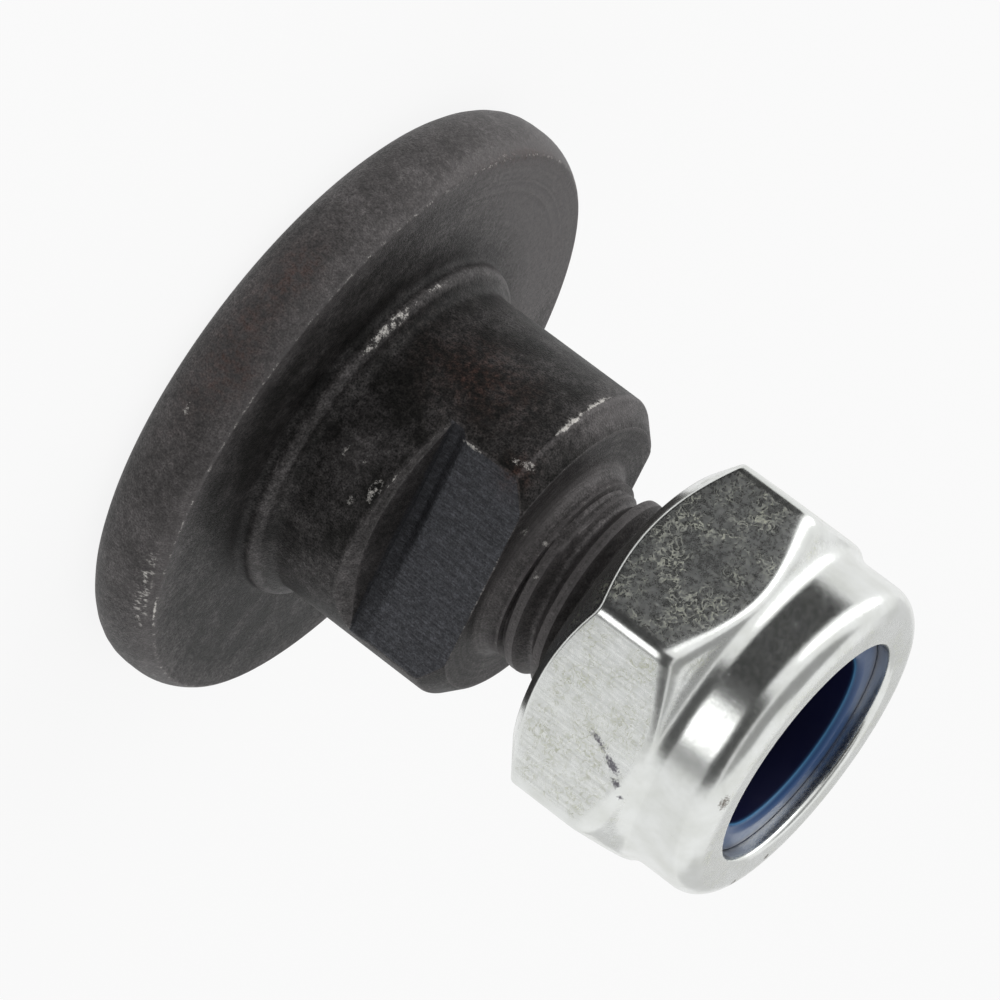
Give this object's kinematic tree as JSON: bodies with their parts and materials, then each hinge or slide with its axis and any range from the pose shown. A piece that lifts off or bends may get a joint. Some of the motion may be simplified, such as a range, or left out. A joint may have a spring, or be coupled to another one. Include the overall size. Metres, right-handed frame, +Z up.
{
  "type": "mower blade bolt",
  "caption": "Blackened steel mower blade bolt with a broad round head, a flatted shank and a zinc-plated nylon-insert lock nut on its thread.",
  "frame": {"origin": "centre of the head's outer face, which is the face that the part stands on", "axes": "+Z up the bolt's axis from the head to the nut; +X square to one of the shank's two flats"},
  "size_m": [0.03, 0.03, 0.0292],
  "materials": {
    "blackened_steel": "black oxide on forged steel, worn bright along its edges, with light rust bloom",
    "zinc_plated_steel": "bright zinc plate, scuffed and lightly stained",
    "navy_nylon": "smooth moulded nylon"
  },
  "bodies": {
    "bolt": {"blade_bolt": "blackened_steel"},
    "ring": {"nylon_ring": "navy_nylon"},
    "nut": {"lock_nut": "zinc_plated_steel"}
  },
  "joints": [
    {"name": "nut_travel", "type": "slide", "parent": "bolt", "child": "ring", "axis": [0, 0, 1], "range_m": [-0.003, 0.0045]},
    {"name": "nut_turn", "type": "hinge", "parent": "ring", "child": "nut", "pos_m": [0, 0, 0.024], "axis": [0, 0, 1], "range_deg": [-720, 1080]}
  ],
  "couplings": [
    {"joint": "nut_travel", "follows": "nut_turn", "m_per_rad": 0.00023873}
  ]
}
